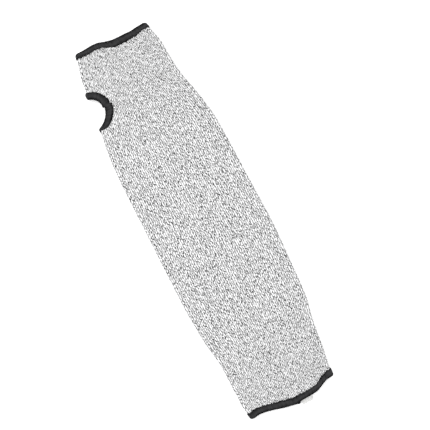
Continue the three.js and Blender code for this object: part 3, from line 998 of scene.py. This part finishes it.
def knit_outside():
    """Plain knit, right side: columns of V stitches in mixed white and grey yarn."""
    knit = Finish("marl_knit_outside")
    u, v = knit.stitches()
    wobble = knit.drift(u * WOBBLE_SCALE, v * WOBBLE_SCALE) - 0.5
    a = (u + wobble * WOBBLE_ACROSS).fract()
    d = abs(a - 0.5)
    slanted = v - d * STITCH_RISE + wobble * WOBBLE_ALONG
    course = slanted.floor()
    p = slanted - course
    leg = u.floor() * 2 + (a > 0.5)
    across_yarn = 1 - (2 * p - 1) ** 2.0
    along_leg = 1 - (abs(d - 0.25) * 4) ** 3.0
    body = (across_yarn.math("MAXIMUM", 0) ** 0.5) * (along_leg.math("MAXIMUM", 0) ** 0.5)
    # Plies lie slantwise round the yarn, light and dark by turns.
    side = (a > 0.5) * 2 - 1
    twist = p * PLY_TURNS + side * d * PLY_SLANT + knit.chance(leg + 9.3, course)
    ply = (twist * 2 * math.pi).sine() * 0.5 + 0.5
    strand = knit.drift(slanted * 7 + leg * 3.7, d * 9 + course * 1.3, 3.0)
    # The dark ply shows in flecks, each half a leg long and as wide as the yarn.
    # Twisting keeps them apart, so a fleck is less likely near another one.
    half = leg * 2 + (d > 0.25)
    near = knit.chance(half + FLECK_APART[0], course) + knit.chance(half, course + FLECK_APART[1])
    fleck = knit.chance(half, course) + (1 - near) * FLECK_EVEN
    tone = (
        KNIT_LIGHT
        + (fleck - 0.5) * KNIT_SPECKLE
        + (strand - 0.5) * STRAND_TONE
        + (ply - 0.5) * PLY_TONE
    ).held()
    # Painted shade: the yarn's colour is darker in the furrow between two columns and where it dives
    # under the next.
    shade = (1 - YARN_PAINTED_SHADE + body * YARN_PAINTED_SHADE) * (1 - (d * 2) ** 2.0 * FURROW_PAINTED_SHADE)
    base = knit.blend(tone * shade, GREY_YARN, WHITE_YARN)
    return knit_cloth(knit, base, tone, body * 0.8 + ply * 0.1 + strand * 0.15)


def knit_inside():
    """The same knit from its wrong side: rows of loops."""
    knit = Finish("marl_knit_inside")
    u, v = knit.stitches()
    wave = (u * 2 * math.pi).sine() * PURL_WAVE
    slanted = v + wave + (knit.drift(u * WOBBLE_SCALE, v * WOBBLE_SCALE) - 0.5) * 0.3
    course = slanted.floor()
    p = slanted - course
    loop = (u * 2).floor()
    body = (1 - (2 * p - 1) ** 2.0).math("MAXIMUM", 0) ** 0.5
    strand = knit.drift(u * 5 + course * 1.7, slanted * 7, 3.0)
    fleck = knit.chance(loop, course)
    tone = (KNIT_LIGHT + (fleck - 0.5) * KNIT_SPECKLE + (strand - 0.5) * STRAND_TONE).held()
    # Painted shade: the yarn's colour is darker between two rows of loops.
    base = knit.blend(tone * (0.5 + body * 0.5), GREY_YARN, WHITE_YARN)
    return knit_cloth(knit, base, tone, body * 0.85 + strand * 0.15)


CREST = 0.62  # place of a band's middle between its nose, 0, and its stitched edge, 1
CREST_SPAN = 0.36
BLACK_THREAD = (0.001, 0.001, 0.0012, 1)
# The lighter thread colour serves both the wear streaks and the painted highlight along the band's
# middle.
WORN_AND_LIT_THREAD = (0.0275, 0.0275, 0.0285, 1)


def black_thread():
    """Soft black overlock thread, wound side by side over the edge."""
    thread = Finish("black_overlock_thread")
    u, turn = thread.stitches()
    number = (u + 0.5).floor()
    filament = thread.drift(u * 9, turn * 5 + number * 2.3, 3.0)
    own = thread.chance(number, number * 0.37)
    # A painted highlight makes the band lightest along its middle, where the threads stand up, and
    # painted shade leaves it darker towards its nose and its stitched edge.
    # Wear shows in long streaks that run with the edge.
    worn = thread.drift(u * 0.12, turn * 3 + 7)
    crest_highlight = (1 - (abs(turn) - CREST) ** 2.0 / CREST_SPAN**2).held()
    tone = (filament * 0.35 + own * 0.4 + worn * 1.4 + crest_highlight * 0.95 - 1.15).held()
    base = thread.blend(tone, BLACK_THREAD, WORN_AND_LIT_THREAD)
    return thread.cloth(
        Base_Color=base,
        Roughness=0.62 + filament * 0.25,
        Normal=thread.bump(filament, 0.22),
        Specular_IOR_Level=0.04,
        Sheen_Weight=0.03,
        Sheen_Roughness=0.45,
    )


WARP_PITCH, WEFT_PITCH = 0.22, 0.3
SELVEDGE = 0.8  # width of its firmer edge
RIBBON_DARK = (0.44, 0.44, 0.43, 1)
RIBBON_LIGHT = (0.62, 0.62, 0.61, 1)


def label_weave():
    """Close satin ribbon, blank, with a firmer woven edge."""
    ribbon = Finish("blank_woven_ribbon")
    x, y = ribbon.stitches()
    warp = (x * 2 * math.pi / WARP_PITCH).sine() * 0.5 + 0.5
    weft = (y * 2 * math.pi / WEFT_PITCH + (x / WARP_PITCH).floor() * 2.1).sine() * 0.5 + 0.5
    firm = abs(x) > LABEL_WIDTH / 2 - SELVEDGE
    weave = warp * 0.4 + weft * 0.6 + firm * 0.3
    worn = ribbon.drift(x * 0.8, y * 0.8)
    base = ribbon.blend((weave * 0.5 + worn * 0.5).held(), RIBBON_DARK, RIBBON_LIGHT)
    return ribbon.cloth(
        Base_Color=base,
        Roughness=0.5 + weave * 0.15,
        Normal=ribbon.bump(weave, 0.06),
        Sheen_Weight=0.1,
    )


# The sleeve

OUTSIDE, INSIDE, THREAD, RIBBON = knit_outside(), knit_inside(), black_thread(), label_weave()

tube = knitted_tube([OUTSIDE, INSIDE])
hand_band = hem("hand_hem_binding", Column.hand_edge, hand_width, -1, THREAD, HAND_SEED)
thread_tail = thread_end(TAIL_PATH)
arm_band = hem("arm_hem_binding", Column.arm_edge, arm_width, 1, THREAD, ARM_SEED, thread_tail)
thumb_rim = thumb_band(THREAD)
label = woven_label(RIBBON)

for piece, node, slot in (
    (tube, "sleeve_body", "marl_knit"),
    (hand_band, "hand_hem", "binding_thread"),
    (arm_band, "arm_hem", "binding_thread"),
    (thumb_rim, "thumb_binding", "binding_thread"),
    (label, "size_label", "woven_label"),
):
    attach(piece, "root")
    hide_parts(node)

# Stage: a pale table in even, soft light
TABLE_HALF = 12
TABLE_TOP = -0.0002
TABLE_COLOUR = 0.9
TABLE_MOTTLE = 0.985
GIRTH_SAMPLES = 400
WORLD_LIGHT = 1.21


def table_finish():
    plain = Finish("pale_table_top")
    mottle = plain.add("ShaderNodeTexNoise", None, {"Scale": 3.0})
    low, high = ((shade, shade, shade, 1) for shade in (TABLE_COLOUR * TABLE_MOTTLE, TABLE_COLOUR))
    return plain.cloth(Base_Color=plain.blend(mottle, low, high), Roughness=0.9)


table_mesh = bpy.data.meshes.new("pale_table")
signs = ((-1, -1), (1, -1), (1, 1), (-1, 1))
corners = [(x * TABLE_HALF, y * TABLE_HALF, TABLE_TOP) for x, y in signs]
table_mesh.from_pydata(corners, [], [(0, 1, 2, 3)])
table_mesh.materials.append(table_finish())
pale_table = bpy.data.objects.new("pale_table", table_mesh)
bpy.context.scene.collection.objects.link(pale_table)

# Size and area that the cloth was cut to
stations = np.linspace(-LENGTH / 2, LENGTH / 2, GIRTH_SAMPLES)
girth_round = 2 * (2 * QUARTER + layer_width(stations))
thumb_area = math.pi * THUMB_GIRTH * THUMB_LENGTH / 4
cut_length = LENGTH - 2 * PROUD - (HAND_WAVE + ARM_WAVE) / 2
cut_area = (girth_round.mean() * cut_length - thumb_area) * MM**2

world = bpy.data.worlds.new("soft_studio")
bpy.context.scene.world = world
world.use_nodes = True
background = world.node_tree.nodes["Background"]
background.inputs["Color"].default_value = (1, 1, 1, 1)
background.inputs["Strength"].default_value = WORLD_LIGHT


lamp_data = bpy.data.lights.new("soft_overhead", "AREA")
lamp_data.shape, lamp_data.size, lamp_data.energy = "SQUARE", 2.0, 60
lamp = bpy.data.objects.new("soft_overhead", lamp_data)
lamp.location = (-0.5, 0.5, 2.6)
lamp.rotation_euler = (-lamp.location).to_track_quat("-Z", "Y").to_euler()
bpy.context.scene.collection.objects.link(lamp)

# Camera: straight above, turned so that the hand end points to the upper left
LENS, SENSOR = 95.0, 36.0
FRAME_WIDTH = 0.4766  # metres across the photograph at the height of the cloth
AIM = Vector((0.01215, -0.00059, 0.006))
RIGHT = Vector((0.891, -0.454, 0)).normalized()
BACK = Vector((0, 0, 1))
camera_data = bpy.data.cameras.new("camera")
camera_data.lens, camera_data.sensor_width = LENS, SENSOR
camera = bpy.data.objects.new("camera", camera_data)
turned = Matrix((RIGHT, BACK.cross(RIGHT), BACK)).transposed().to_4x4()
camera.matrix_world = Matrix.Translation(AIM + BACK * FRAME_WIDTH * LENS / SENSOR) @ turned
bpy.context.scene.collection.objects.link(camera)
bpy.context.scene.camera = camera
bpy.context.scene.view_settings.view_transform = "Standard"
# A denoiser softens the speckle of the yarn, which is no wider than a pixel.
bpy.context.scene.cycles.use_denoising = False
